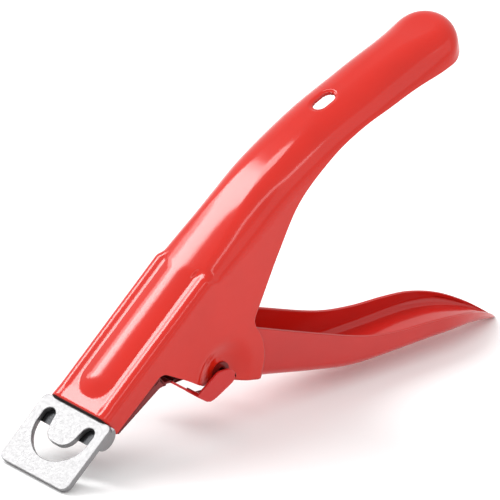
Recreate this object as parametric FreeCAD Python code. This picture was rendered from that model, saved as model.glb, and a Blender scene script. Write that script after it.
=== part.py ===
import FreeCAD, Part
import math
import os

# False nail tip cutter: a pressed steel body with a fixed upper handle, a squeeze lever on a
# tubular pivot, and a flat blade that the lever pushes forward under a slotted head plate.
#
# Working frame while modelling, in millimetres: +X runs rearward along the nose, +Y towards the
# crown of the body, +Z out of the near side. X = 0 is the front edge of the body and Y = 0 the
# lower edge of its nose. The tool stands on the front edge of its head plate and on the tip of its
# lever, so at the end every solid is turned to make that line level, with +X running from head to
# lever tip, -Y out of the near side and +Z up, and moved to put the origin on the surface it stands
# on, under the middle of the tool.

V = FreeCAD.Vector

# --- driving dimensions -----------------------------------------------------------------------
BODY_HALF = 8.3            # half width over the body walls
SHEET = 0.7                # pressed sheet of the body and the lever
LEVER_HALF = 7.5           # half width over the lever walls
SWING = 24.0               # squeeze of the lever, degrees

NOSE_TOP = 5.3             # crown height at the front
BEAD_FRONT, BEAD_HALF, BEAD_TOP = 3.2, 4.4, 6.2   # raised bead pressed along the nose
BEAD_END = 42.0

PIVOT_X, PIVOT_Y = 25.8, -16.1
SEAM_R = 11.5              # rear end of the body wall, an arc about the pivot
DISH_R, DISH_FLOOR_R, DISH_DEPTH = 7.2, 3.6, 1.3
TUBE_R, TUBE_BORE_R, TUBE_RIM_R, TUBE_RIM_T = 1.6, 1.05, 2.2, 0.35
RUN_FIT = 0.05             # radial clearance of a running fit
SIDE_GAP = 0.1             # face to face gap beside a moving sheet

PLATE_HALF, PLATE_T, PLATE_TOP = 10.0, 1.3, 4.45
PLATE_FRONT, PLATE_CORNER = -16.8, 1.8
TONGUE_END, TONGUE_HALF = 11.5, 6.8
SLOT_C, SLOT_R = -5.2, 7.5         # outer arc of the crescent slot: centre in X, and radius
HOOK_R, HOOK_Z, HOOK_AHEAD = 1.65, 5.85, 1.2   # round ends of the slot, behind its centre
FINGER_HALF, FINGER_FRONT = 3.3, 3.5           # tongue that the slot wraps around
LUG_C, LUG_R = -2.75, 2.75
HEAD_RIVET_X, HEAD_RIVET_Z, HEAD_RIVET_R = (1.7, 4.3), 6.35, 0.4

BLADE_T, BLADE_EDGE, BLADE_HALF, BLADE_NECK = 0.8, -5.6, 7.8, 5.7
BLADE_END = 19.0
SLIDE_GAP = 0.05
GUIDE_T, GUIDE_END, GUIDE_HALF = 0.8, 5.7, 7.3
CARRIER_T, CARRIER_FRONT, CARRIER_HALF = 1.0, 13.4, 5.0
BLADE_RIVET_X, BLADE_RIVET_R = (15.0, 17.5), 0.9
BLOCK_HALF = 6.6
PIN_Y, PIN_R, ARM_R, PIN_FIT = 0.8, 1.0, 2.1, 0.08

STRIP_T, STRIP_HALF, EAR_T = 0.8, 6.9, 0.9
TAB_HALF = 5.0                  # half width of the spring tab
WINDOW_TOP, WINDOW_HALF = -10.9, 5.2             # opening in the drop of the guard, below the tab
SPRING_R, WIRE_R, SPRING_HALF = 3.1, 0.4, 3.2
SPRING_FROM, SPRING_TO = 28.0, 1870.0            # turn at which the coil leaves each leg, degrees
LEVER_LEG, GUARD_LEG = 17.0, 5.5

HANG_X, HANG_LONG, HANG_WIDE = 82.6, 5.2, 3.2

# crown line of the body: X, height, corner radius across the section
CROWN = [(-1.0, NOSE_TOP, 1.5), (17.0, NOSE_TOP, 1.8), (28.0, NOSE_TOP, 2.5), (39.0, 5.5, 4.0),
         (54.0, 5.6, 6.0), (66.0, 4.6, 7.0), (78.0, 1.9, 7.3), (90.0, -2.5, 7.4), (99.5, -6.9, 7.4),
         (118.0, -15.6, 7.4)]
END_X, END_Y = 114.9, -12.0          # rear end of the upper handle, and the height it is rounded at
END_TILT = 25.0            # slope of the handle at that end, degrees

# lower edge of the body, from the crotch rearward
HANDLE_EDGE = [(38.4, -13.6), (42.4, -11.6), (52.1, -6.9), (62.3, -3.0), (73.4, -3.0), (82.7, -5.3),
               (91.9, -9.4), (101.7, -14.1), (107.5, -16.6), (112.5, -17.9), (120.0, -19.0)]

# lever, from the seam to the tip: upper edge and floor
LEVER_EDGE = [(38.7, -18.7), (46.6, -33.4), (54.0, -46.4), (60.2, -54.3), (67.0, -61.2), (72.0, -66.8),
              (76.2, -73.0), (79.0, -79.6), (80.5, -85.8)]
LEVER_FLOOR = [(26.9, -21.4), (34.4, -31.9), (41.1, -41.2), (47.8, -49.8), (56.5, -58.0), (65.7, -66.2),
               (72.5, -73.2), (77.6, -80.4), (80.5, -85.8)]
LEVER_AXIS = -51.7         # direction of the lever, degrees
TIP_LENGTH = 24.0          # the stretch over which the lever narrows to its tip

# --- derived sizes ----------------------------------------------------------------------------
HALF_SWING = math.radians(SWING / 2)
PIN_RISE = PIN_Y - PIVOT_Y
PIN_X = PIVOT_X + PIN_RISE * math.tan(HALF_SWING)
STROKE = 2 * PIN_RISE * math.tan(HALF_SWING)
PLATE_BOTTOM = PLATE_TOP - PLATE_T
BLADE_TOP = PLATE_BOTTOM - SLIDE_GAP
BLADE_BOTTOM = BLADE_TOP - BLADE_T
GUIDE_TOP = BLADE_BOTTOM - SLIDE_GAP
PIVOT = V(PIVOT_X, PIVOT_Y, 0)
LEVER_INNER = LEVER_HALF - SHEET
DISH_FLOOR_Z = BODY_HALF - DISH_DEPTH
LEVER_DISH_Z = DISH_FLOOR_Z - SHEET - SIDE_GAP
LEVER_DISH_R = DISH_R + 1.5
LEVER_DISH_FLOOR_R = DISH_FLOOR_R + 1.5
STAND = math.degrees(math.atan2(PLATE_BOTTOM - LEVER_EDGE[-1][1], LEVER_EDGE[-1][0] - PLATE_FRONT))


# --- helpers ----------------------------------------------------------------------------------
def rounded(points, z=0.0):
    """Closed wire through (x, y, radius) corners, each corner rounded by its radius."""
    n = len(points)
    ends = []
    arcs = []
    for i, (x, y, r) in enumerate(points):
        p = V(x, y, z)
        a = (V(points[i - 1][0], points[i - 1][1], z) - p).normalize()
        b = (V(points[(i + 1) % n][0], points[(i + 1) % n][1], z) - p).normalize()
        if r <= 0:
            ends.append((p, p))
            arcs.append(None)
            continue
        half = a.getAngle(b) / 2
        reach = r / math.tan(half)
        middle = p + (a + b).normalize() * (r / math.sin(half) - r)
        ends.append((p + a * reach, p + b * reach))
        arcs.append(Part.Arc(ends[-1][0], middle, ends[-1][1]).toShape())
    edges = []
    for i in range(n):
        if arcs[i]:
            edges.append(arcs[i])
        start, stop = ends[i][1], ends[(i + 1) % n][0]
        if (stop - start).Length > 1e-6:
            edges.append(Part.LineSegment(start, stop).toShape())
    return Part.Wire(edges)


def slab(wire, z0, z1):
    """Solid between two heights with the given outline."""
    face = Part.Face(wire)
    face.translate(V(0, 0, z0 - face.BoundBox.ZMin))
    return face.extrude(V(0, 0, z1 - z0))


def plate_xz(wire_points, y0, y1):
    """Solid with an outline in X and Z, between two heights in Y."""
    solid = slab(rounded(wire_points), y0, y1)
    solid.rotate(V(0, 0, 0), V(1, 0, 0), -90)
    return solid.mirror(V(0, 0, 0), V(0, 0, 1))


def box(x0, x1, y0, y1, z0, z1):
    return Part.makeBox(x1 - x0, y1 - y0, z1 - z0, V(x0, y0, z0))


def rod_z(x, y, r, z0, z1):
    return Part.makeCylinder(r, z1 - z0, V(x, y, z0), V(0, 0, 1))


def rod_y(x, z, r, y0, y1):
    return Part.makeCylinder(r, y1 - y0, V(x, y0, z), V(0, 1, 0))


def both_sides(solid):
    return solid.fuse(solid.mirror(V(0, 0, 0), V(0, 0, 1)))


def spline(points):
    curve = Part.BSplineCurve()
    curve.interpolate([V(x, y, 0) for x, y in points])
    return curve.toShape()


def segments(points):
    """Straight edges through (x, y) points."""
    return [Part.LineSegment(V(a[0], a[1], 0), V(b[0], b[1], 0)).toShape()
            for a, b in zip(points, points[1:]) if a != b]


def closed(edges):
    return Part.Wire(Part.__sortEdges__(edges))


def about_pivot(r, angle):
    a = math.radians(angle)
    return V(PIVOT_X + r * math.cos(a), PIVOT_Y + r * math.sin(a), 0)


def dish_ring(r_top, r_floor, z_top, z_floor, thickness, reach):
    """Dished sheet about the pivot: flat rim out to reach, cone, flat floor."""
    slope = thickness * 0.4
    path = [(0, z_floor), (r_floor, z_floor), (r_top, z_top), (reach, z_top), (reach, z_top - thickness),
            (r_top + slope, z_top - thickness), (r_floor + slope, z_floor - thickness),
            (0, z_floor - thickness)]
    corners = [V(PIVOT_X + r, PIVOT_Y, z) for r, z in path]
    face = Part.Face(Part.makePolygon(corners + corners[:1]))
    return face.revolve(PIVOT, V(0, 0, 1), 360)


# --- body -------------------------------------------------------------------------------------
def arch(x, top, r, inset):
    """Cross section of the body at x: two walls and a crown with rounded corners."""
    half = BODY_HALF - inset
    r = max(r - inset, 0.5)
    top -= inset
    low = -60.0
    k = math.sqrt(0.5)
    p = [V(x, low, -half), V(x, top - r, -half), V(x, top, -half + r), V(x, top, half - r),
         V(x, top - r, half), V(x, low, half)]
    left = V(x, top - r + r * k, -half + r - r * k)
    right = V(x, top - r + r * k, half - r + r * k)
    return Part.Wire([Part.LineSegment(p[0], p[1]).toShape(), Part.Arc(p[1], left, p[2]).toShape(),
                      Part.LineSegment(p[2], p[3]).toShape(), Part.Arc(p[3], right, p[4]).toShape(),
                      Part.LineSegment(p[4], p[5]).toShape(), Part.LineSegment(p[5], p[0]).toShape()])


def body_form(inset):
    """The body as a solid block, its surface set in by inset, with the rear end rounded in plan."""
    block = Part.makeLoft([arch(x, top, r, inset) for x, top, r in CROWN], True, False)
    half = BODY_HALF - inset
    end = END_X - inset
    plan = slab(Part.Wire([
        Part.LineSegment(V(-30, -half - 1, 0), V(-30, half + 1, 0)).toShape(),
        Part.LineSegment(V(-30, half + 1, 0), V(end - half, half + 1, 0)).toShape(),
        Part.LineSegment(V(end - half, half + 1, 0), V(end - half, half, 0)).toShape(),
        Part.Arc(V(end - half, half, 0), V(end, 0, 0), V(end - half, -half, 0)).toShape(),
        Part.LineSegment(V(end - half, -half, 0), V(end - half, -half - 1, 0)).toShape(),
        Part.LineSegment(V(end - half, -half - 1, 0), V(-30, -half - 1, 0)).toShape()]), -140, 110)
    plan.rotate(V(0, 0, 0), V(1, 0, 0), 90)
    plan.rotate(V(END_X - BODY_HALF, END_Y, 0), V(0, 0, 1), -END_TILT)
    return block.common(plan)


def bead(inset, low):
    """Bead along the nose with a round front end, running out into the crown."""
    half = BEAD_HALF - inset
    front = BEAD_FRONT + inset
    low = plate_xz([(front, -half, half - 0.1), (BEAD_END, -half, 0), (BEAD_END, half, 0),
                    (front, half, half - 0.1)], low, BEAD_TOP - inset)
    run_out = slab(Part.makePolygon([V(0, 0, 0), V(BEAD_END, 0, 0), V(BEAD_END, 5.6 - inset, 0),
                                     V(34, BEAD_TOP - inset, 0), V(0, BEAD_TOP - inset, 0), V(0, 0, 0)]),
                   -BODY_HALF, BODY_HALF)
    return low.common(run_out)


def body_side():
    """Side outline of the body: nose, gusset down to the pivot, seam arc, upper handle."""
    seam_low = about_pivot(SEAM_R, -64.5)
    seam_high = about_pivot(SEAM_R, 7.0)
    front = rounded([(0, 0, 0), (15.9, -0.3, 2.2), (18.8, -7.9, 0), (20.9, -14.2, 0),
                     (seam_low.x - 5.9, seam_low.y + 8.1, 2.0), (seam_low.x, seam_low.y, 0),
                     (seam_high.x, seam_high.y, 0), (38.4, -13.6, 0), (38.4, 30, 0), (0, 30, 0)])
    flap = slab(front, -BODY_HALF - 1, BODY_HALF + 1)
    seam = rod_z(PIVOT_X, PIVOT_Y, SEAM_R, -BODY_HALF - 1, BODY_HALF + 1)
    wedge = slab(Part.makePolygon([PIVOT, seam_low, about_pivot(SEAM_R * 1.8, -50),
                                   about_pivot(SEAM_R * 1.8, -5), seam_high, PIVOT]),
                 -BODY_HALF - 1, BODY_HALF + 1)
    return_path = segments([HANDLE_EDGE[-1], (HANDLE_EDGE[-1][0], 30), (38.4, 30), HANDLE_EDGE[0]])
    handle = slab(closed([spline(HANDLE_EDGE)] + return_path), -BODY_HALF - 1, BODY_HALF + 1)
    return flap.fuse([seam.common(wedge), handle])


def body_shell():
    form = body_form(0)
    hollow = body_form(SHEET)
    side = body_side()
    shell = form.cut(hollow).common(side)
    tongue = box(-1, TONGUE_END + 0.1, 0, PLATE_TOP + 0.02, -TONGUE_HALF - 0.02, TONGUE_HALF + 0.02)
    shell = shell.cut(tongue).fuse(bead(0, NOSE_TOP - SHEET / 2)).cut(bead(SHEET, NOSE_TOP - 2 * SHEET))
    wall = slab(Part.Wire(Part.makeCircle(DISH_R, PIVOT, V(0, 0, 1))), DISH_FLOOR_Z - SHEET, BODY_HALF)
    dish = dish_ring(DISH_R, DISH_FLOOR_R, BODY_HALF, DISH_FLOOR_Z, SHEET, DISH_R + 0.6)
    dish = dish.common(side).cut(rod_z(PIVOT_X, PIVOT_Y, TUBE_R, 0, BODY_HALF))
    shell = shell.cut(both_sides(wall)).fuse(both_sides(dish))
    return shell.cut(hang_slot())


def hang_slot():
    half = HANG_WIDE / 2
    run = HANG_LONG / 2 - half
    path = [(HANG_X - run - half, -half, half - 0.01), (HANG_X + run + half, -half, half - 0.01),
            (HANG_X + run + half, half, half - 0.01), (HANG_X - run - half, half, half - 0.01)]
    return plate_xz(path, -8, 12)


# --- cutting head -----------------------------------------------------------------------------
def crescent():
    """The slot: a wide arc in front, the plate's own tongue inside it, and round hooks behind."""
    outer = rod_y(SLOT_C, 0, SLOT_R, -5, 10)
    hook_x = SLOT_C + HOOK_AHEAD
    root = HOOK_Z - HOOK_R
    front = SLOT_C - FINGER_FRONT
    finger = plate_xz([(hook_x, -root, 0), (front, -FINGER_HALF, 3.2), (front, FINGER_HALF, 3.2),
                       (hook_x, root, 0), (20, root, 0), (20, -root, 0)], -5, 10)
    keep = box(SLOT_C - SLOT_R - 1, hook_x, -5, 10, -SLOT_R - 1, SLOT_R + 1)
    slot = outer.common(keep).cut(finger)
    return slot.fuse(both_sides(rod_y(hook_x, HOOK_Z, HOOK_R, -5, 10)))


def head_plate():
    r = PLATE_CORNER
    plate = plate_xz([(PLATE_FRONT, -PLATE_HALF, r), (-0.1, -PLATE_HALF, 1.4), (-0.1, -TONGUE_HALF, 0),
                      (TONGUE_END, -TONGUE_HALF, 1), (TONGUE_END, TONGUE_HALF, 1), (-0.1, TONGUE_HALF, 0),
                      (-0.1, PLATE_HALF, 1.4), (PLATE_FRONT, PLATE_HALF, r)], PLATE_BOTTOM, PLATE_TOP)
    lug = rod_z(LUG_C, PLATE_TOP, LUG_R, PLATE_HALF - PLATE_T, PLATE_HALF)
    lug = lug.common(box(-20, 20, -20, PLATE_BOTTOM + 0.2, 0, 20))
    return plate.fuse(both_sides(lug)).cut([crescent()] + head_rivet_holes())


def head_rivet_places():
    return [(x, z) for x in HEAD_RIVET_X for z in (-HEAD_RIVET_Z, HEAD_RIVET_Z)]


def head_rivet_holes():
    return [rod_y(x, z, HEAD_RIVET_R, -5, 10) for x, z in head_rivet_places()]


def guide_rail():
    rail = box(0.3, GUIDE_END, GUIDE_TOP, PLATE_BOTTOM, BLADE_NECK + 0.2, GUIDE_HALF)
    return rail.cut(head_rivet_holes())


def blade_guide():
    guide = box(0.3, GUIDE_END, GUIDE_TOP - GUIDE_T, GUIDE_TOP, -GUIDE_HALF, GUIDE_HALF)
    return guide.cut(head_rivet_holes())


def head_rivets():
    rivets = []
    low = GUIDE_TOP - GUIDE_T
    for x, z in head_rivet_places():
        head = Part.makeCone(0.5, 0.8, 0.4, V(x, low - 0.4, z), V(0, 1, 0))
        rivets.append(rod_y(x, z, HEAD_RIVET_R, low, PLATE_TOP - 0.1).fuse(head))
    return Part.makeCompound(rivets)


# --- blade group ------------------------------------------------------------------------------
def blade_rivet_holes():
    return [rod_y(x, 0, BLADE_RIVET_R, -5, 10) for x in BLADE_RIVET_X]


def blade():
    bevel = 0.9
    flat = plate_xz([(BLADE_EDGE, -BLADE_HALF, 0.3), (-0.7, -BLADE_HALF, 1.0), (0.0, -BLADE_NECK, 0),
                     (BLADE_END, -BLADE_NECK + 0.6, 1), (BLADE_END, BLADE_NECK - 0.6, 1),
                     (0.0, BLADE_NECK, 0), (-0.7, BLADE_HALF, 1.0), (BLADE_EDGE, BLADE_HALF, 0.3)],
                    BLADE_BOTTOM, BLADE_TOP)
    grind = slab(Part.makePolygon([V(BLADE_EDGE - 1, BLADE_BOTTOM - 1, 0),
                                   V(BLADE_EDGE + bevel + 1, BLADE_BOTTOM - 1, 0),
                                   V(BLADE_EDGE + bevel, BLADE_BOTTOM, 0),
                                   V(BLADE_EDGE, BLADE_TOP - 0.15, 0),
                                   V(BLADE_EDGE - 1, BLADE_TOP - 0.15, 0),
                                   V(BLADE_EDGE - 1, BLADE_BOTTOM - 1, 0)]), -10, 10)
    return flat.cut([grind] + blade_rivet_holes())


def blade_carrier():
    """Flat bar under the blade with a block at its rear that holds the drive pin."""
    front = BLADE_BOTTOM - CARRIER_T
    bar = box(CARRIER_FRONT, PIN_X, front, BLADE_BOTTOM, -CARRIER_HALF, CARRIER_HALF)
    block = slab(rounded([(PIN_X - 3.2, front, 0), (PIN_X - 2.0, PIN_Y - 1.9, 1.0),
                          (PIN_X + 2.2, PIN_Y - 1.9, 1.5), (PIN_X + 2.2, BLADE_BOTTOM, 0.8),
                          (PIN_X - 3.2, BLADE_BOTTOM, 0)]), -BLOCK_HALF, BLOCK_HALF)
    solid = bar.fuse(block).cut([rod_z(PIN_X, PIN_Y, PIN_R, -10, 10)] + blade_rivet_holes())
    return solid.removeSplitter()


def blade_rivets():
    rivets = []
    low = BLADE_BOTTOM - CARRIER_T
    for x in BLADE_RIVET_X:
        head = Part.makeCone(0.7, 1.15, 0.4, V(x, low - 0.4, 0), V(0, 1, 0))
        rivets.append(rod_y(x, 0, BLADE_RIVET_R, low, BLADE_TOP).fuse(head))
    return Part.makeCompound(rivets)


def drive_pin():
    return rod_z(PIN_X, PIN_Y, PIN_R, -LEVER_HALF, LEVER_HALF)


# --- lever ------------------------------------------------------------------------------------
def lever_plan(inset):
    """Plan outline of the lever, square on to its length: straight sides and a pointed round tip."""
    half = LEVER_HALF - inset
    axis = V(math.cos(math.radians(LEVER_AXIS)), math.sin(math.radians(LEVER_AXIS)), 0)
    up = V(-axis.y, axis.x, 0)
    tip = V(LEVER_EDGE[-1][0], LEVER_EDGE[-1][1], 0) - axis * inset
    side = []
    for i in range(7):
        t = i / 6
        side.append((t * TIP_LENGTH, half * math.sin(t * math.pi / 2) ** 0.8))
    low = [tip - axis * s - up * 60 + V(0, 0, w) for s, w in side]
    high = [V(p.x, p.y, -p.z) for p in low]
    tail = axis * 110
    upper = Part.BSplineCurve()
    upper.interpolate(low)
    lower = Part.BSplineCurve()
    lower.interpolate(high)
    edges = [upper.toShape(), lower.toShape(),
             Part.LineSegment(low[-1], low[-1] - tail).toShape(),
             Part.LineSegment(low[-1] - tail, high[-1] - tail).toShape(),
             Part.LineSegment(high[-1] - tail, high[-1]).toShape()]
    return Part.Face(Part.Wire(Part.__sortEdges__(edges))).extrude(up * 120)


def lever_trough():
    """The handle part: walls and floor, open towards the upper handle."""
    edge, floor = LEVER_EDGE, LEVER_FLOOR
    outline = closed([spline(edge), spline(floor)] + segments([edge[0], floor[0]]))
    solid = slab(outline, -BODY_HALF, BODY_HALF).common(lever_plan(0))
    above = [(x + 9, y + 7) for x, y in edge]
    raised = [(x + 0.62 * SHEET, y + 0.78 * SHEET) for x, y in floor]
    room = closed([spline(above), spline(raised)] + segments([above[0], (30, -8), raised[0]])
                  + segments([above[-1], raised[-1]]))
    return solid.cut(slab(room, -BODY_HALF, BODY_HALF).common(lever_plan(SHEET)))


def lever_arms():
    """The inner ends of the lever walls: round the pivot and up to the drive pin."""
    heel, shoulder = LEVER_FLOOR[0], LEVER_EDGE[0]
    neck = PIN_Y - 1.0
    crest = PIN_Y + 1.9
    rear = [(heel[0], heel[1], 0), (shoulder[0], shoulder[1], 0), (34.0, -10.5, 3.0)]
    front = [(21.6, -13.2, 3.0), (21.2, -19.0, 3.0)]
    top = [(PIN_X + ARM_R, neck, 0.6), (PIN_X + ARM_R, crest, 1.8), (PIN_X - ARM_R, crest, 1.8),
           (PIN_X - ARM_R, neck, 0.6)]
    wall = slab(rounded(rear + top + front), LEVER_INNER, LEVER_HALF)
    ring = rod_z(PIVOT_X, PIVOT_Y, LEVER_DISH_R, LEVER_INNER - 1, LEVER_HALF + 1)
    dish = dish_ring(LEVER_DISH_R, LEVER_DISH_FLOOR_R, LEVER_HALF, LEVER_DISH_Z, SHEET, LEVER_DISH_R + 0.6)
    dish = dish.common(slab(rounded(rear + [(30.5, -5, 0), (24.0, -5, 0)] + front), 0, 10))
    tube = rod_z(PIVOT_X, PIVOT_Y, TUBE_R + RUN_FIT, 0, 10)
    return both_sides(wall.cut(ring).fuse(dish).cut([tube, pin_slot()]))


def pin_slot():
    """Slot along a radius from the pivot; the drive pin runs in it as the lever swings."""
    half = PIN_R + PIN_FIT
    near = PIN_RISE - half
    far = PIN_RISE / math.cos(HALF_SWING) + half + 0.05
    slot = slab(rounded([(near, -half, half - 0.01), (far, -half, half - 0.01),
                         (far, half, half - 0.01), (near, half, half - 0.01)]), 0, 10)
    slot.rotate(V(0, 0, 0), V(0, 0, 1), 90 - math.degrees(HALF_SWING))
    slot.translate(PIVOT)
    return slot


def squeeze_lever():
    trough = lever_trough().cut(rod_z(PIVOT_X, PIVOT_Y, LEVER_DISH_R, -LEVER_HALF, LEVER_HALF))
    return trough.fuse(lever_arms()).removeSplitter()


# --- pivot, guard and spring ------------------------------------------------------------------
def pivot_tube():
    """Tubular rivet through both walls, its rims rolled over on the dish floors."""
    top = DISH_FLOOR_Z + TUBE_RIM_T
    tube = rod_z(PIVOT_X, PIVOT_Y, TUBE_R, -top, top)
    rim = rod_z(PIVOT_X, PIVOT_Y, TUBE_RIM_R, DISH_FLOOR_Z, top)
    return tube.fuse(both_sides(rim)).cut(rod_z(PIVOT_X, PIVOT_Y, TUBE_BORE_R, -10, 10))


def spring_sleeve():
    long = LEVER_DISH_Z - SHEET - SIDE_GAP
    sleeve = rod_z(PIVOT_X, PIVOT_Y, 2.3, -long, long)
    return sleeve.cut(rod_z(PIVOT_X, PIVOT_Y, TUBE_R, -10, 10))


def return_spring():
    """Torsion spring about the sleeve; one leg bears on the guard, the other on the lever floor."""
    steps = 180
    path = []
    for i in range(steps + 1):
        a = math.radians(SPRING_FROM + (SPRING_TO - SPRING_FROM) * i / steps)
        z = SPRING_HALF * (2 * i / steps - 1)
        path.append(PIVOT + V(SPRING_R * math.cos(a), SPRING_R * math.sin(a), z))
    lead = (path[0] - path[1]).normalize()
    trail = (path[-1] - path[-2]).normalize()
    path = [path[0] + lead * d for d in (LEVER_LEG, LEVER_LEG / 2, 1.0)] + path
    path += [path[-1] + trail * d for d in (1.0, GUARD_LEG / 2, GUARD_LEG)]
    curve = Part.BSplineCurve()
    curve.interpolate(path)
    section = Part.Wire(Part.makeCircle(WIRE_R, path[0], lead))
    return Part.Wire(curve.toShape()).makePipeShell([section], True, False)


def guard_path(offset):
    """Side line of the guard strip, set in by offset from its outer face."""
    return [(0.6, -0.75 + offset), (13.3 - 0.3 * offset, -2.75 + offset),
            (16.3 + 0.8 * offset, -5.8 + offset), (18.6 + offset, -15.4 + 0.2 * offset)]


def under_guard():
    """Strip that closes the nose from below, drops in front of the gusset and ends in two ears."""
    outer = guard_path(0)
    inner = guard_path(STRIP_T)
    strip = slab(rounded([outer[0] + (0,), outer[1] + (2.4,), outer[2] + (3.0,), outer[3] + (0,),
                          inner[3] + (0,), inner[2] + (2.2,), inner[1] + (1.6,), inner[0] + (0,)]),
                 -STRIP_HALF, STRIP_HALF)
    ear_out = BODY_HALF + EAR_T
    foot = slab(rounded([(17.9, -12.8, 0), (18.8, -12.8, 0), (19.5, -15.6, 0), (20.6, -16.9, 0),
                         (20.6, -17.7, 0), (19.3, -17.0, 1.0), (18.6, -15.4, 0)]), -ear_out, ear_out)
    ear = slab(rounded([(17.9, -12.8, 0), (25.0, -13.7, 1.5), (28.0, -16.8, 1.7), (26.8, -19.1, 1.5),
                        (20.8, -17.75, 0), (19.3, -17.0, 1.0), (18.6, -15.4, 0)]), BODY_HALF, ear_out)
    tab = slab(rounded([(17.0, -8.2, 0), (17.9, -8.2, 0.6), (21.2, -11.3, 0.3), (20.6, -11.9, 0.3),
                        (17.3, -9.0, 0)]), -TAB_HALF, TAB_HALF)
    window = slab(rounded([(14.0, -19.0, 0), (21.0, -19.0, 0), (21.0, WINDOW_TOP, 0), (14.0, WINDOW_TOP, 0)]),
                  -WINDOW_HALF, WINDOW_HALF)
    arms = strip.fuse(foot).cut(window)
    return arms.fuse([tab, both_sides(ear)]).removeSplitter()


# --- write the nodes --------------------------------------------------------------------------
def all_parts():
    rail = guide_rail()
    return {
        "body_shell": body_shell(),
        "under_guard": under_guard(),
        "head_plate": head_plate(),
        "guide_rail_near": rail,
        "guide_rail_far": rail.mirror(V(0, 0, 0), V(0, 0, 1)),
        "blade_guide": blade_guide(),
        "head_rivets": head_rivets(),
        "blade": blade(),
        "blade_carrier": blade_carrier(),
        "blade_rivets": blade_rivets(),
        "drive_pin": drive_pin(),
        "squeeze_lever": squeeze_lever(),
        "pivot_tube": pivot_tube(),
        "spring_sleeve": spring_sleeve(),
        "return_spring": return_spring(),
    }


def stood_up(shape):
    """Turned from the working frame to the way the tool stands."""
    turned = shape.copy()
    turned.rotate(V(0, 0, 0), V(0, 0, 1), STAND)
    turned.rotate(V(0, 0, 0), V(1, 0, 0), 90)
    return turned


def main():
    os.makedirs("parts", exist_ok=True)
    parts = {name: stood_up(shape) for name, shape in all_parts().items()}
    whole = FreeCAD.BoundBox()
    for shape in parts.values():
        whole.add(shape.optimalBoundingBox(True))
    shift = V(-whole.Center.x, -whole.Center.y, -whole.ZMin)
    for name, shape in parts.items():
        shape.translate(shift)
        print(name, "solids", len(shape.Solids), "volume", round(shape.Volume, 1), "valid", shape.isValid())
        shape.exportStep("parts/" + name + ".step")
    pivot = stood_up(Part.Vertex(PIVOT)).Point + shift
    print("size", round(whole.XLength, 2), round(whole.YLength, 2), round(whole.ZLength, 2))
    print("pivot", [round(c, 4) for c in pivot], "stroke", round(STROKE, 4), "stand", round(STAND, 5))
    print("shift", [round(c, 4) for c in shift])


main()
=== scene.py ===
import math

import bmesh
import bpy
from mathutils import Matrix, Vector
from mathutils.geometry import tessellate_polygon


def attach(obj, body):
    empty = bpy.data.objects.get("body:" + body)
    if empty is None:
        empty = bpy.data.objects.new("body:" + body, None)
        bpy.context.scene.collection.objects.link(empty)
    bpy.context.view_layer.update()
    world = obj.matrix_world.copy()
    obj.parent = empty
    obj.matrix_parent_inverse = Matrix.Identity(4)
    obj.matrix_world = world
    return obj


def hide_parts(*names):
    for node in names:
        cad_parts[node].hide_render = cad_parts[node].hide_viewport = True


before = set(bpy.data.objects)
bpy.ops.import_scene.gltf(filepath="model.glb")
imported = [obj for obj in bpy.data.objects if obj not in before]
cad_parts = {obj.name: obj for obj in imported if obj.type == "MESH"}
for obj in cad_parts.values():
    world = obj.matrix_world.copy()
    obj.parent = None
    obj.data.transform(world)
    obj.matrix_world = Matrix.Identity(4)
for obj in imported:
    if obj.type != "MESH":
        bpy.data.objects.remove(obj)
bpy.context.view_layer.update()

# --- working frame: millimetres, X rearward along the nose, Y to the crown, Z to the near side ---
STAND = math.radians(42.43302)
SHIFT = (-50.952, 0.0, 9.0105)
HALF, LEVER_HALF = 8.3, 7.5                       # half widths of the body and of the lever
SHEET = 0.7                                       # thickness of the sheet of both
PIVOT = (25.8, -16.1)
DISH_DEPTH = 1.3                                  # dish round the pivot, in the walls and in the arms


def place(p):
    """A point of the working frame, stood up and in metres."""
    c, s = math.cos(STAND), math.sin(STAND)
    x, y, z = p
    return Vector((x * c - y * s + SHIFT[0], -z, x * s + y * c + SHIFT[2])) / 1000


# --- small maths ----------------------------------------------------------------------------------
def clamp(v):
    """The nearest value from 0 to 1."""
    return max(0.0, min(1.0, v))


def smooth(v):
    """Ease from 0 to 1 while v runs from 0 to 1; level outside."""
    v = clamp(v)
    return v * v * (3 - 2 * v)


def curve_through(points, per=24):
    """Catmull-Rom points through the given ones."""
    pts = [points[0]] + list(points) + [points[-1]]
    out = []
    for i in range(1, len(pts) - 2):
        p0, p1, p2, p3 = pts[i - 1:i + 3]
        for k in range(per):
            t = k / per
            out.append(tuple(
                0.5 * (2 * b + (c - a) * t + (2 * a - 5 * b + 4 * c - d) * t * t
                       + (3 * b - a - 3 * c + d) * t ** 3)
                for a, b, c, d in zip(p0, p1, p2, p3)))
    out.append(tuple(points[-1]))
    return out


def height_at(line, x):
    """Height of a line of (x, y) points with rising x."""
    if x <= line[0][0]:
        return line[0][1]
    for (xa, ya), (xb, yb) in zip(line, line[1:]):
        if x <= xb:
            return ya + (yb - ya) * (x - xa) / max(xb - xa, 1e-9)
    return line[-1][1]


def rounded(points, seg=8):
    """Closed outline through (x, y, radius) corners, the corners rounded."""
    out = []
    n = len(points)
    for i, (x, y, r) in enumerate(points):
        p = Vector((x, y))
        a = (Vector(points[i - 1][:2]) - p).normalized()
        b = (Vector(points[(i + 1) % n][:2]) - p).normalized()
        if r <= 0:
            out.append((x, y))
            continue
        half = a.angle(b) / 2
        reach = r / math.tan(half)
        centre = p + (a + b).normalized() * (r / math.sin(half))
        start = p + a * reach - centre
        turn = start.angle_signed(p + b * reach - centre)
        for k in range(seg + 1):
            q = start.copy()
            q.rotate(Matrix.Rotation(-turn * k / seg, 2))
            out.append(tuple(centre + q))
    return out


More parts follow.
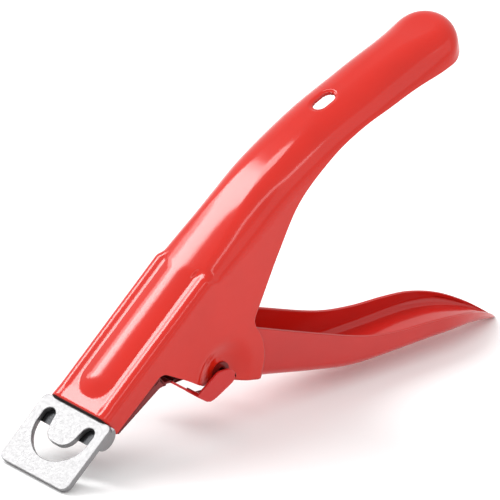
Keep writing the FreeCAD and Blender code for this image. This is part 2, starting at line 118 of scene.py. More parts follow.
# --- mesh helpers ---------------------------------------------------------------------------------
def add_object(name, verts, faces, material, body, slot, replaces=None):
    """Mesh in the working frame as a piece that rides a body."""
    mesh = bpy.data.meshes.new(name)
    mesh.from_pydata([place(v) for v in verts], [], faces)
    mesh.validate()
    mesh.update()
    obj = bpy.data.objects.new(name, mesh)
    bpy.context.scene.collection.objects.link(obj)
    bm = bmesh.new()
    bm.from_mesh(mesh)
    bmesh.ops.recalc_face_normals(bm, faces=bm.faces)
    bm.to_mesh(mesh)
    bm.free()
    for poly in mesh.polygons:
        poly.use_smooth = True
    mesh.materials.append(material)
    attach(obj, body)
    if replaces:
        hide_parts(replaces)
    return obj


def weigh_normals(obj):
    """Shade flat faces flat up to their rounded edges."""
    mod = obj.modifiers.new("normals", "WEIGHTED_NORMAL")
    mod.mode = "FACE_AREA"
    mod.weight = 80
    mod.keep_sharp = True


def inset(outline, d):
    """Outline moved inwards by d, which may be negative; the outline runs anticlockwise."""
    n = len(outline)
    out = []
    for i in range(n):
        a, p, b = Vector(outline[i - 1]), Vector(outline[i]), Vector(outline[(i + 1) % n])
        u = (p - a).normalized()
        v = (b - p).normalized()
        m = Vector((-(u.y + v.y), u.x + v.x))
        if m.length < 1e-9:
            m = Vector((-u.y, u.x))
        m.normalize()
        k = max(0.5, m.dot(Vector((-u.y, u.x))))
        out.append(tuple(p + m * (d / k)))
    return out


def area(outline):
    """Signed area, above zero for an outline that runs anticlockwise."""
    return sum(a[0] * b[1] - b[0] * a[1] for a, b in zip(outline, outline[1:] + outline[:1])) / 2


def clean(outline, least=1e-4):
    """Outline without doubled points, running anticlockwise."""
    out = []
    for p in outline:
        if not out or math.dist(p, out[-1]) > least:
            out.append(p)
    if math.dist(out[0], out[-1]) <= least:
        out.pop()
    return out if area(out) > 0 else out[::-1]


def prism(outline, low, high, bevel, axis="z", holes=(), rings=3):
    """Plate with the outline in two axes and rounded edges; axis is the one it is thick along."""
    verts, faces = [], []

    def point(p, h):
        return (p[0], p[1], h) if axis == "z" else (p[0], h, p[1])

    caps_low, caps_high = [], []
    for index, loop in enumerate([clean(outline)] + [clean(h) for h in holes]):
        side = 1 if index == 0 else -1
        levels = []
        for k in range(rings + 1):
            a = math.pi / 2 * k / rings
            levels.append((bevel * (1 - math.sin(a)), low + bevel * (1 - math.cos(a))))
        levels += [(d, high - (h - low)) for d, h in reversed(levels)]
        start = len(verts)
        n = len(loop)
        for d, h in levels:
            verts += [point(p, h) for p in inset(loop, side * d)]
        for r in range(len(levels) - 1):
            for i in range(n):
                j = (i + 1) % n
                a, b = start + r * n + i, start + r * n + j
                faces.append((a, b, b + n, a + n))
        caps_low.append([start + i for i in range(n)])
        caps_high.append([start + (len(levels) - 1) * n + i for i in range(n)])
    for caps in (caps_low, caps_high):
        flat = [i for cap in caps for i in cap]
        loops = [[Vector(verts[i]) for i in cap] for cap in caps]
        for tri in tessellate_polygon(loops):
            faces.append(tuple(flat[i] for i in tri))
    return verts, faces


def split(part, test):
    """Two meshes out of one: the faces that pass the test, and the rest."""
    out = []
    for wanted in (True, False):
        verts, faces, seen = [], [], {}
        for face in part[1]:
            if test([part[0][i] for i in face]) != wanted:
                continue
            for i in face:
                if i not in seen:
                    seen[i] = len(verts)
                    verts.append(part[0][i])
            faces.append(tuple(seen[i] for i in face))
        out.append((verts, faces))
    return out


def joined(*parts):
    """One mesh out of several."""
    verts, faces = [], []
    for v, f in parts:
        start = len(verts)
        verts += v
        faces += [tuple(i + start for i in face) for face in f]
    return verts, faces


def mirrored(part):
    """The mesh on the far side of the middle plane."""
    return [(x, y, -z) for x, y, z in part[0]], [tuple(reversed(f)) for f in part[1]]


FULL_RIM = 0.5                                    # thickness from which a rim swells by its full amount
RIM_STEPS = ((0.2, 0.75), (0.5, 1.0), (0.8, 0.75))  # share of the thickness, share of the swell


def sheet(grid, keep, thick, rim=0.16):
    """Sheet metal from a grid of points on its outer face: an offset inner face and rounded rims.

    The cells that keep(i, j) passes are drawn; thick is one number, or a list with one for each row.
    """
    rows, cols = len(grid), len(grid[0])
    if not isinstance(thick, list):
        thick = [thick] * rows
    norm = [[None] * cols for _ in range(rows)]
    for i in range(rows):
        for j in range(cols):
            a = grid[min(i + 1, rows - 1)][j] - grid[max(i - 1, 0)][j]
            b = grid[i][min(j + 1, cols - 1)] - grid[i][max(j - 1, 0)]
            n = a.cross(b)
            norm[i][j] = n.normalized() if n.length > 1e-12 else None
    for i in range(rows):
        for j in range(cols):
            if norm[i][j] is None:
                near = [norm[k][j] for k in (i - 1, i - 2, i + 1) if 0 <= k < rows and norm[k][j]]
                norm[i][j] = near[0] if near else Vector((0, 1, 0))
    verts, faces = [], []
    for i in range(rows):
        for j in range(cols):
            verts.append(tuple(grid[i][j]))
    base = len(verts)
    for i in range(rows):
        for j in range(cols):
            verts.append(tuple(grid[i][j] - norm[i][j] * thick[i]))
    count = {}
    for i in range(rows - 1):
        for j in range(cols - 1):
            if not keep(i, j):
                continue
            a, b = i * cols + j, i * cols + j + 1
            c, d = b + cols, a + cols
            faces.append((a, b, c, d))
            faces.append((base + d, base + c, base + b, base + a))
            for e in ((a, b), (b, c), (c, d), (d, a)):
                key = tuple(sorted(e))
                count.setdefault(key, []).append(e)
    middles = {}

    def middle(v):
        """Points that round the rim over from the outer face to the inner one."""
        if v not in middles:
            p, q = Vector(verts[v]), Vector(verts[base + v])
            out = outward.get(v, Vector((0, 0, 0)))
            out = out.normalized() * min(1.0, (p - q).length / FULL_RIM) if out.length else out
            ids = []
            for t, push in RIM_STEPS:
                ids.append(len(verts))
                verts.append(tuple(p.lerp(q, t) + out * rim * push))
            middles[v] = ids
        return middles[v]

    outward = {}
    border = [e[0] for e in count.values() if len(e) == 1]
    for a, b in border:
        pa, pb = Vector(verts[a]), Vector(verts[b])
        n = norm[a // cols][a % cols]
        side = (pb - pa).cross(n)
        for v in (a, b):
            outward[v] = outward.get(v, Vector((0, 0, 0))) + side
    for a, b in border:
        ring_a = [a] + middle(a) + [base + a]
        ring_b = [b] + middle(b) + [base + b]
        for k in range(4):
            faces.append((ring_b[k], ring_a[k], ring_a[k + 1], ring_b[k + 1]))
    return verts, faces


# --- materials ------------------------------------------------------------------------------------
def material(name):
    """New node material: itself, its tree and its shader."""
    mat = bpy.data.materials.new(name)
    mat.use_nodes = True
    tree = mat.node_tree
    shader = tree.nodes["Principled BSDF"]
    return mat, tree, shader


def noise(tree, scale, detail=3.0, rough=0.5, stretch=None):
    """Noise on the piece's own coordinates, drawn out by stretch if that is given."""
    coords = tree.nodes.new("ShaderNodeTexCoord")
    mapping = tree.nodes.new("ShaderNodeMapping")
    if stretch:
        mapping.inputs["Scale"].default_value = stretch
    tex = tree.nodes.new("ShaderNodeTexNoise")
    tex.inputs["Scale"].default_value = scale
    tex.inputs["Detail"].default_value = detail
    tex.inputs["Roughness"].default_value = rough
    tree.links.new(coords.outputs["Object"], mapping.inputs["Vector"])
    tree.links.new(mapping.outputs["Vector"], tex.inputs["Vector"])
    return tex


def ramp(tree, source, stops):
    """Colour ramp with the (position, colour) stops."""
    node = tree.nodes.new("ShaderNodeValToRGB")
    cr = node.color_ramp
    while len(cr.elements) < len(stops):
        cr.elements.new(0.5)
    for el, (pos, col) in zip(cr.elements, stops):
        el.position = pos
        el.color = (*col, 1.0)
    tree.links.new(source, node.inputs["Fac"])
    return node


def grey(v):
    """Grey of value v; it also carries a plain number through a colour ramp."""
    return (v, v, v)


def bump(tree, shader, source, strength, distance, socket="Normal"):
    """Surface relief from a height."""
    node = tree.nodes.new("ShaderNodeBump")
    node.inputs["Strength"].default_value = strength
    node.inputs["Distance"].default_value = distance
    tree.links.new(source, node.inputs["Height"])
    tree.links.new(node.outputs["Normal"], shader.inputs[socket])


CLOUD_SCALE, FINE_SCALE, RIPPLE_SCALE = 90.0, 700.0, 260.0   # noise in the enamel


def paint(name, colour, rough=0.34, coat=0.8):
    """Glossy enamel: slightly cloudy colour under a clear, faintly rippled top coat."""
    mat, tree, sh = material(name)
    cloud = noise(tree, CLOUD_SCALE, 4.0)
    deep = tuple(c * 0.93 for c in colour)
    col = ramp(tree, cloud.outputs["Fac"], [(0.35, deep), (0.65, colour)])
    tree.links.new(col.outputs["Color"], sh.inputs["Base Color"])
    fine = noise(tree, FINE_SCALE, 2.0)
    ro = ramp(tree, fine.outputs["Fac"], [(0.3, grey(rough * 0.9)), (0.7, grey(rough * 1.1))])
    tree.links.new(ro.outputs["Color"], sh.inputs["Roughness"])
    sh.inputs["Specular IOR Level"].default_value = 0.05
    sh.inputs["Coat Weight"].default_value = coat
    sh.inputs["Coat Roughness"].default_value = 0.11
    sh.inputs["Coat IOR"].default_value = 1.46
    ripple = noise(tree, RIPPLE_SCALE, 2.0)
    bump(tree, sh, ripple.outputs["Fac"], 0.05, 0.0002, "Coat Normal")
    return mat


def metal(name, colour, rough, grain, scale, depth=0.06, spread=0.06):
    """Steel with a fine grain that can be drawn out along one axis."""
    mat, tree, sh = material(name)
    lines = noise(tree, scale, 5.0, 0.6, grain)
    light = tuple(min(1.0, c * 1.04) for c in colour)
    dark = tuple(c * 0.92 for c in colour)
    col = ramp(tree, lines.outputs["Fac"], [(0.3, dark), (0.7, light)])
    tree.links.new(col.outputs["Color"], sh.inputs["Base Color"])
    sh.inputs["Metallic"].default_value = 1.0
    ro = ramp(tree, lines.outputs["Fac"],
              [(0.3, grey(max(0.02, rough - spread))), (0.7, grey(rough + spread))])
    tree.links.new(ro.outputs["Color"], sh.inputs["Roughness"])
    bump(tree, sh, lines.outputs["Fac"], depth, 0.0002)
    return mat


BODY_RED = (0.54, 0.012, 0.004)
LEVER_RED = (0.48, 0.010, 0.006)
mat_body = paint("body_enamel", BODY_RED)
mat_lever = paint("lever_enamel", LEVER_RED)
mat_guard = paint("guard_enamel", (0.50, 0.014, 0.012))
# painted shade: the guard's red enamel darkened to about a third for the strip under the nose, standing in
# for the shade it lies in
mat_guard_painted_shade = paint("guard_enamel_painted_shade", (0.16, 0.004, 0.004), 0.4, 0.7)
# painted shadow: near-black enamel for the strip under the nose's front, standing in for the shade in the
# gap over the head plate
mat_painted_shadow = paint("shadow_edge", (0.012, 0.004, 0.004), 0.5, 0.3)
# painted shade: the pivot tube's red enamel darkened well below the body red, standing in for the shade in
# the pivot hole
mat_tube_painted_shade = paint("tube_enamel_painted_shade", (0.16, 0.006, 0.005), 0.4, 0.6)
mat_plate = metal("plate_nickel", (0.275, 0.272, 0.275), 0.46, (1, 1, 1), 1400.0, 0.25, 0.06)
mat_edge = metal("sheared_edge", (0.27, 0.265, 0.27), 0.46, (1, 1, 1), 1500.0, 0.7, 0.10)
mat_rail = metal("rail_steel", (0.09, 0.09, 0.093), 0.38, (1, 6, 6), 240.0)
mat_rivet = metal("rivet_steel", (0.60, 0.60, 0.62), 0.32, (1, 1, 1), 800.0, 0.25)
# painted shade: the ground blade's steel made nearly black, standing in for the shade it lies in under the
# head plate
mat_blade_painted_shade = metal("blade_ground_painted_shade", (0.035, 0.0355, 0.0375), 0.34, (9, 1, 9), 220.0, 0.12)
mat_carrier = metal("carrier_steel", (0.14, 0.14, 0.145), 0.46, (1, 1, 1), 600.0, 0.3)
mat_pin = metal("pin_polished", (0.72, 0.72, 0.74), 0.16, (4, 4, 1), 300.0)
mat_sleeve = metal("sleeve_steel", (0.36, 0.36, 0.38), 0.42, (1, 1, 6), 300.0, 0.2)
mat_spring = metal("spring_wire", (0.62, 0.62, 0.64), 0.20, (1, 1, 1), 900.0, 0.15)

for node, mat in (("guide_rail_near", mat_rail), ("guide_rail_far", mat_rail), ("blade_guide", mat_rail),
                  ("head_rivets", mat_rivet), ("blade", mat_blade_painted_shade), ("blade_carrier", mat_carrier),
                  ("blade_rivets", mat_rivet), ("drive_pin", mat_pin), ("pivot_tube", mat_tube_painted_shade),
                  ("spring_sleeve", mat_sleeve)):
    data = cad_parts[node].data
    data.materials.clear()
    data.materials.append(mat)

# --- body shell -----------------------------------------------------------------------------------
NOSE_TOP, NOSE_CORNER = 5.3, 2.0                  # height of the nose, radius of its corners
BEAD_RISE, BEAD_HALF, BEAD_FRONT = 0.9, 4.4, 3.2  # long bead on the nose
GROOVE_MID, GROOVE_HALF, GROOVE_END = 5.45, 1.4, 37.3  # grooves beside the bead
REAR_LEAD, REAR_RUN = 1.3, 2.4                    # step from the nose up to the crown behind it
END_X, END_Y, END_TILT = 115.6, -12.0, math.radians(25)  # round, tilted end of the handle
HANG_X, HANG_RUN, HANG_R = 82.6, 1.0, 1.6         # slot the tool hangs from: middle, half run, end radius

BOW, BOW_FROM, BOW_RUN = 0.023, 46, 18            # bow of the crown across, which fades out to the rear
NOSE_END = 46                                     # the nose has blended into the crown by here
EDGE_RISE, EDGE_FROM, EDGE_RUN = 0.13, 5.0, 1.3   # rise of the two flats beside the bead
FRONT_RISE, FRONT_RUN = 0.2, 3.4                  # rise towards the front edge
SEAM_R = 11.5                                     # round edge of the wall over the lever's arms
DISH_FLOOR, DISH_SLOPE = 3.0, 5.2
END_LEAN, LEAN_FROM, LEAN_RUN = math.tan(END_TILT), 88, 16
WALL, ACROSS = 46, 128                            # points up each wall and across the crown
STATION, FINE_STATION, LEAST_STATION = 0.55, 0.22, 0.06
END_STATIONS = 30
TUBE_HOLE = 1.85
SNAP = 0.03                                       # gap below which a point belongs to the hanging slot
SLOT_SIDE, FAR = 4, 9.0                           # half width searched for the slot, gap beyond it
SLOT_SINK, SLOT_ROUND = 0.4, 0.9                  # how far the crown sinks at the slot, and over what gap

crown = curve_through([(-2.0, 6.2), (17.0, 6.2), (28.0, 6.2), (39.0, 6.15), (54.0, 5.8), (66.0, 4.8),
                       (78.0, 2.2), (90.0, -2.2), (99.5, -6.6), (108.0, -10.0), (118.0, -13.2),
                       (128.0, -17.4)])
corner = curve_through([(-2.0, 1.6), (20.0, 1.9), (30.0, 2.3), (38.0, 3.0), (46.0, 4.0), (56.0, 5.6),
                        (66.0, 6.8), (78.0, 7.3), (98.0, 7.2), (107.0, 5.6), (115.0, 3.8), (128.0, 3.8)])


def seam(angle):
    """Point of the round edge of the wall over the arms of the lever."""
    a = math.radians(angle)
    return (PIVOT[0] + SEAM_R * math.cos(a), PIVOT[1] + SEAM_R * math.sin(a))


def lower_edge():
    """Lower edge of the near wall, from the nose past the pivot to the end of the handle."""
    nose = rounded([(-1, 0.02, 0), (15.9, -0.3, 2.2), (18.8, -7.9, 3.0), (20.9, -14.2, 2.0),
                    (24.9, -18.4, 2.0), (30.75, -26.4, 0), (30.8, -30, 0), (-1, -30, 0)], 10)
    nose = [p for p in nose if p[0] < 30.8 and p[1] > -26.45]
    arms = [seam(a) for a in range(-64, -2, 4)]
    handle = curve_through([(38.4, -13.6), (42.4, -11.6), (52.1, -6.9), (62.3, -3.0), (73.4, -3.0),
                            (82.7, -5.3), (91.9, -9.3), (101.7, -13.6), (107.5, -15.9), (112.5, -17.4),
                            (126.0, -19.0)])
    return nose + arms + [(37.5, -15.4), (37.9, -14.3)] + handle


def body_stations():
    """Places along the body with the share of the width there, closer where the shape changes fast."""
    places = [0.0]
    while places[-1] < END_X - HALF:
        x = places[-1]
        step = FINE_STATION if abs(x - HANG_X) < 4.5 else STATION
        while step > LEAST_STATION and abs(height_at(lower, x + step) - height_at(lower, x)) > 0.7:
            step *= 0.7
        places.append(x + step)
    out = [(x, 1.0) for x in places if x < END_X - HALF]
    for k in range(END_STATIONS + 1):
        a = math.pi / 2 * k / END_STATIONS
        out.append((END_X - HALF + HALF * math.sin(a), max(math.cos(a), 0.004)))
    return out


def bow(x):
    """How strongly the crown is bowed across, on top of its rounded corners."""
    return BOW * (1 - smooth((x - BOW_FROM) / BOW_RUN))


def crown_height(x, z):
    """Height of the pressed surface at x and z, for the full width of the body."""
    zz = min(abs(z), HALF)
    r = height_at(corner, x)
    flat = HALF - r
    arch = height_at(crown, x) - bow(x) * zz ** 2
    if zz > flat:
        arch -= r - math.sqrt(max(r * r - (zz - flat) ** 2, 0.0))
    if x > NOSE_END:
        return arch
    flat = HALF - NOSE_CORNER
    nose = NOSE_TOP + EDGE_RISE * smooth((zz - EDGE_FROM) / EDGE_RUN)
    nose += FRONT_RISE * smooth((FRONT_RUN - x) / FRONT_RUN)
    if zz > flat:
        nose -= NOSE_CORNER - math.sqrt(max(NOSE_CORNER ** 2 - (zz - flat) ** 2, 0.0))
    if x > BEAD_FRONT + BEAD_HALF:
        depth = BEAD_HALF - zz
    else:
        depth = BEAD_HALF - math.hypot(x - BEAD_FRONT - BEAD_HALF, zz)
    u = clamp(depth / BEAD_HALF)
    nose += BEAD_RISE * (1 - (1 - u) ** 2)
    off = min(zz - GROOVE_MID, 0.0) / GROOVE_HALF
    end = GROOVE_END - GROOVE_HALF + GROOVE_HALF * math.sqrt(max(0.0, 1 - off * off))
    rear = smooth((x - end + REAR_LEAD) / REAR_RUN)
    return nose + (arch - nose) * rear


def dish(x, y):
    """Depth of the dish in the body wall round the pivot."""
    r = math.hypot(x - PIVOT[0], y - PIVOT[1])
    return DISH_DEPTH * (1 - smooth((r - DISH_FLOOR) / DISH_SLOPE))


def widest(x):
    """Half width at which the section meets the lower edge, where that edge cuts into its corner."""
    low = height_at(lower, x)
    if height_at(crown, x) - bow(x) * HALF ** 2 - height_at(corner, x) > low:
        return HALF
    a, b = 0.0, HALF
    for _ in range(30):
        mid = (a + b) / 2
        a, b = (mid, b) if crown_height(x, mid) > low else (a, mid)
    return a


def slot_gap(x, z):
    """Distance outwards from the edge of the hanging slot, and the step from that edge to the point."""
    dx = max(abs(x - HANG_X) - HANG_RUN, 0.0)
    away = Vector((math.copysign(dx, x - HANG_X), z))
    if away.length < 1e-9:
        away = Vector((0.0, 1e-6))
    gap = away.length - HANG_R
    return gap, away.normalized() * gap


def body_plan():
    """Rows of (x, z, y) across the body, y open on the crown, and the half width of each row."""
    rows, halves = [], []
    for x, _ in stations:
        half = widest(x)
        low, top = height_at(lower, x), crown_height(x, half)
        halves.append(half)
        row = [(x, half, low + (top - low) * k / WALL) for k in range(WALL)]
        row += [(x, half * math.cos(math.pi * k / ACROSS), None) for k in range(ACROSS + 1)]
        row += [(x, -half, y) for _, _, y in reversed(row[:WALL])]
        rows.append(row)
    return rows, halves


def snap_to_slot():
    """Move the points of the plan next to the hanging slot onto its edge; gives each point's gap."""
    gaps = [[slot_gap(x, z)[0] if y is None and abs(z) < SLOT_SIDE else FAR for x, z, y in row]
            for row in plan]
    out = [list(row) for row in gaps]
    for i in range(1, len(plan) - 1):
        for j in range(1, len(plan[0]) - 1):
            if gaps[i][j] > SNAP:
                continue
            around = [gaps[i + a][j + b] for a in (-1, 0, 1) for b in (-1, 0, 1)]
            if max(around) > SNAP:
                x, z, y = plan[i][j]
                away = slot_gap(x, z)[1]
                plan[i][j] = (x - away.x, z - away.y, y)
                out[i][j] = 0.0
    return out


def body_point(i, j):
    """Point of the outer face at row i and column j."""
    scale = stations[i][1]
    x, z, y = plan[i][j]
    if y is None:
        y = crown_height(x, math.hypot(z * scale, wide[i] * math.sqrt(1 - scale * scale)))
        y -= SLOT_SINK * (1 - smooth(gaps[i][j] / SLOT_ROUND))
    if abs(abs(z) - HALF) < 1e-6:
        z = math.copysign(HALF - dish(x, y), z)
    lean = END_LEAN * smooth((x - LEAN_FROM) / LEAN_RUN)
    return Vector((x + (y - END_Y) * lean, y, z * scale))


lower = lower_edge()
stations = body_stations()
plan, wide = body_plan()
gaps = snap_to_slot()
grid = [[body_point(i, j) for j in range(len(plan[i]))] for i in range(len(plan))]


def body_keep(i, j):
    """Whether a cell is drawn: not in the hanging slot, nor in the hole for the pivot tube."""
    corners = ((i, j), (i + 1, j), (i, j + 1), (i + 1, j + 1))
    if all(gaps[a][b] <= 1e-6 for a, b in corners):
        return False
    mid = sum((grid[a][b] for a, b in corners), Vector((0, 0, 0))) / 4
    if abs(mid.z) > 5 and math.hypot(mid.x - PIVOT[0], mid.y - PIVOT[1]) < TUBE_HOLE:
        return False
    return True


add_object("body_shell_pressed", *sheet(grid, body_keep, SHEET), mat_body, "frame", "body_paint",
           "body_shell")

# Painted shadow: a thin near-black strip under the front of the nose stands in for the shade in the gap
# between the nose and the head plate.
LIP_FRONT, LIP_RUN, LIP_DROP, LIP_STEPS = 0.36, 0.32, 0.55, 5   # dark edge under the front of the nose
LIP_UNDER, LIP_FLOOR = 0.10, 0.6                  # depth below the nose's surface, height where it stops
LIP_WIDTH, LIP_TAPER = 0.988, 0.05                # share of the nose's width, and its loss at the low edge


def lip_row(k):
    """One line of the lip: the first is its low front edge, the last lies at the nose."""
    t = k / (LIP_STEPS - 1)
    x = -LIP_FRONT + LIP_RUN * t
    drop = LIP_UNDER + LIP_DROP * (1 - t)
    width = LIP_WIDTH - LIP_TAPER * (1 - t)
    return [Vector((x, p.y - drop, p.z * width)) for p in grid[0] if p.y > LIP_FLOOR]


lip = [lip_row(k) for k in range(LIP_STEPS)]
add_object("nose_front_painted_shadow", *sheet(lip, lambda i, j: True, 0.2, 0.05), mat_painted_shadow, "frame", "body_paint")

# --- lever ----------------------------------------------------------------------------------------
LEVER_AXIS = Vector((math.cos(math.radians(-51.7)), math.sin(math.radians(-51.7))))
TIP = Vector((80.5, -85.8))
TIP_LENGTH, TIP_SHAPE = 24.0, 0.8                 # length over which the trough narrows to the tip
THIN_LENGTH, THIN_LEAST = 7.0, 0.02               # length over which its sheet thins to the tip
LEAST_WIDTH, LEAST_DEPTH = 0.004, 0.002           # keep the last row of the trough open
FLOOR_R = 2.4                                     # bend between the walls and the floor of the trough
ARM_HOLE = 1.66
ARM_SIDE = 6.5                                    # the dish is only in what lies further out than this
ARM_DISH_FLOOR, ARM_DISH_SLOPE = 4.7, 4.0
TROUGH_ROWS, ROW_PACK = 190, 1.35                 # rows along the trough, packed closer at the tip
WALL_POINTS, BEND_POINTS, FLOOR_POINTS = 24, 14, 12
ARM_RAYS, ARM_RINGS = 120, 25

edge_line = curve_through([(34.6, -11.6), (36.4, -14.6), (38.7, -18.7), (46.6, -33.4), (54.0, -46.4),
                           (60.2, -54.3), (67.0, -61.2), (72.0, -66.8), (76.2, -73.0), (79.0, -79.6),
                           (80.5, -85.8)])
floor_line = curve_through([(24.8, -18.4), (26.9, -21.4), (34.4, -31.9), (41.1, -41.2), (47.8, -49.8),
                            (56.5, -58.0), (65.7, -66.2), (72.5, -73.2), (77.6, -80.4), (80.5, -85.8)])
arm_outline = clean(rounded([(26.6, -20.6, 0), (33.6, -13.4, 0), (32.6, -9.4, 3.0), (31.4, -0.2, 0.6),
                             (31.4, 2.7, 1.8), (27.3, 2.7, 1.8), (27.3, -0.2, 0.6), (21.9, -13.2, 3.0),
                             (21.5, -18.4, 2.0)]))


def before_tip(p):
    """Distance from a point to the tip, measured along the lever."""
    return (TIP - Vector(p)).dot(LEVER_AXIS)


def on_line(line, s):
    """Point of a line at distance s from the tip."""
    for a, b in zip(line, line[1:]):
        sa, sb = before_tip(a), before_tip(b)
        if (sa - s) * (sb - s) <= 0 and abs(sa - sb) > 1e-9:
            return Vector(a).lerp(Vector(b), (sa - s) / (sa - sb))
    return Vector(line[-1])


def arm_dish(r):
    """Depth of the dish in the arms of the lever at distance r from the pivot."""
    return DISH_DEPTH * (1 - smooth((r - ARM_DISH_FLOOR) / ARM_DISH_SLOPE))


def trough_section(width, deep):
    """(height, z) points of half the trough's section, from the rim down to the middle of its floor."""
    r = min(FLOOR_R, width * 0.9, deep * 0.75)
    line = [(deep - (deep - r) * j / WALL_POINTS, width) for j in range(WALL_POINTS)]
    for j in range(BEND_POINTS + 1):
        a = math.pi / 2 * j / BEND_POINTS
        line.append((r - r * math.sin(a), width - r + r * math.cos(a)))
    line += [(0.0, (width - r) * (1 - j / FLOOR_POINTS)) for j in range(1, FLOOR_POINTS)]
    return line


def trough_row(share):
    """Points across the trough at a share of its length, and the thickness of the sheet there."""
    top = on_line(edge_line, before_tip(edge_line[0]) * (1 - share))
    low = on_line(floor_line, before_tip(floor_line[0]) * (1 - share))
    s = (before_tip(top) + before_tip(low)) / 2
    width = LEVER_HALF * math.sin(clamp(s / TIP_LENGTH) * math.pi / 2) ** TIP_SHAPE + LEAST_WIDTH
    deep = (top - low).length + LEAST_DEPTH
    up = (top - low).normalized() if deep > 0.01 else Vector((0, 1))
    half = trough_section(width, deep)
    row = []
    for h, z in half + [(0.0, 0.0)] + [(h, -z) for h, z in reversed(half)]:
        p = low + up * h
        if abs(z) > ARM_SIDE:
            z -= math.copysign(arm_dish(math.hypot(p.x - PIVOT[0], p.y - PIVOT[1])), z)
        row.append(Vector((p.x, p.y, z)))
    return row[::-1], SHEET * smooth(s / THIN_LENGTH + THIN_LEAST)


def reach(angle):
    """Distance from the pivot to the outline of the arm in a direction."""
    d = Vector((math.cos(angle), math.sin(angle)))
    o = Vector(PIVOT)
    far = 0.0
    for a, b in zip(arm_outline, arm_outline[1:] + arm_outline[:1]):
        a, b = Vector(a) - o, Vector(b) - o
        den = d.x * (b.y - a.y) - d.y * (b.x - a.x)
        if abs(den) < 1e-12:
            continue
        t = (a.x * (b.y - a.y) - a.y * (b.x - a.x)) / den
        u = (a.x * d.y - a.y * d.x) / den
        if t > 0 and -1e-6 <= u <= 1 + 1e-6:
            far = max(far, t)
    return far


def arm_ray(k):
    """Points of the arm from its outline in to the hole, along one ray from the pivot."""
    a = 2 * math.pi * k / ARM_RAYS
    far = reach(a)
    ray = []
    for j in range(ARM_RINGS, -1, -1):
        r = ARM_HOLE + (far - ARM_HOLE) * j / ARM_RINGS
        ray.append(Vector((PIVOT[0] + r * math.cos(a), PIVOT[1] + r * math.sin(a),
                           LEVER_HALF - arm_dish(r))))
    return ray


rows = [trough_row(1 - (1 - k / TROUGH_ROWS) ** ROW_PACK) for k in range(TROUGH_ROWS + 1)]
trough = sheet([row for row, _ in rows], lambda i, j: True, [thick for _, thick in rows])
arm = sheet([arm_ray(k) for k in range(ARM_RAYS + 1)], lambda i, j: True, SHEET, 0.0)
add_object("squeeze_lever_pressed", *joined(trough, arm, mirrored(arm)), mat_lever, "lever",
           "lever_paint", "squeeze_lever")

# --- guard ----------------------------------------------------------------------------------------
STRIP, STRIP_HALF = 0.5, 6.9
WINDOW_TOP, WINDOW_HALF = 0.53, 5.2               # share of the drop above its window, half width
ARM_HALF, FOOT_HALF, TAB_HALF = 7.2, 9.1, 5.0
CLOSER_HALF = 8.2
EAR_IN, EAR_OUT = 8.32, 9.2


def guard_side(offset):
    """Side line of the strip, set in by offset from its outer face."""
    return [(0.6, -0.75 + offset), (13.3 - 0.3 * offset, -2.75 + offset),
            (16.3 + 0.8 * offset, -5.8 + offset), (18.6 + offset, -15.4 + 0.2 * offset)]


def cut(line):
    """Point of a side line at the top of the window."""
    return tuple(u + (v - u) * WINDOW_TOP for u, v in zip(line[2], line[3]))


outer, inner = guard_side(0), guard_side(STRIP)
drop = prism(rounded([(12.0, -2.56, 0), outer[1] + (2.4,), outer[2] + (2.0,), cut(outer) + (0.2,),
                      cut(inner) + (0.2,), inner[2] + (1.6,), inner[1] + (2.0,), (12.0, -2.06, 0)]),
             -STRIP_HALF, STRIP_HALF, 0.12)
side_arm = prism(rounded([outer[2] + (0.2,), outer[3] + (0.2,), inner[3] + (0.2,), inner[2] + (0.2,)]),
                 WINDOW_HALF, ARM_HALF, 0.12)
closer = prism(rounded([(0.35, -1.0, 0.3), (13.5, -2.85, 2.0), (15.4, -4.4, 0.4), (15.0, -0.5, 0.2),
                        (13.0, -0.34, 0.2), (0.35, -0.06, 0.1)]), -CLOSER_HALF, CLOSER_HALF, 0.6, rings=6)
foot = prism(rounded([(17.9, -12.8, 0.2), (18.8, -12.8, 0.2), (19.5, -15.6, 0.4), (20.7, -16.9, 0.2),
                      (20.7, -17.8, 0.2), (19.3, -17.0, 1.0), (18.6, -15.4, 0.3)]),
             WINDOW_HALF, FOOT_HALF, 0.1)
ear = prism(rounded([(17.9, -12.8, 0.4), (25.0, -13.6, 2.0), (28.2, -16.8, 2.4), (26.6, -19.3, 1.8),
                     (20.9, -17.9, 1.6), (18.9, -16.6, 1.6), (18.5, -15.0, 0.6)], 12),
            EAR_IN, EAR_OUT, 0.36, rings=5)
tab = prism(rounded([(17.0, -8.2, 0.1), (17.9, -8.2, 0.6), (21.2, -11.3, 0.25), (20.6, -11.9, 0.25),
                     (17.3, -9.0, 0.3)]), -TAB_HALF, TAB_HALF, 0.1)
ears = joined(foot, mirrored(foot), side_arm, mirrored(side_arm), ear, mirrored(ear))
weigh_normals(add_object("under_guard_ears", *ears, mat_guard, "frame", "guard_paint", "under_guard"))
# The strip, closer and tab carry the darkened guard enamel: painted shade for the band under the nose.
weigh_normals(add_object("under_guard_strip", *joined(drop, closer, tab), mat_guard_painted_shade, "frame",
                         "guard_paint"))

# --- return spring --------------------------------------------------------------------------------
SPRING_R, WIRE, SPRING_HALF = 3.1, 0.4, 3.2
SPRING_FROM, SPRING_TO, SPRING_STEP = 28, 1870, 6  # turn of the coil, degrees
LEVER_LEG, GUARD_LEG = 17.0, 5.5
LEG_OVERLAP = (27, 34)                            # steps of the coil drawn in both pieces
LEG_THINNER = 0.004                               # keeps the moving piece inside the fixed one there


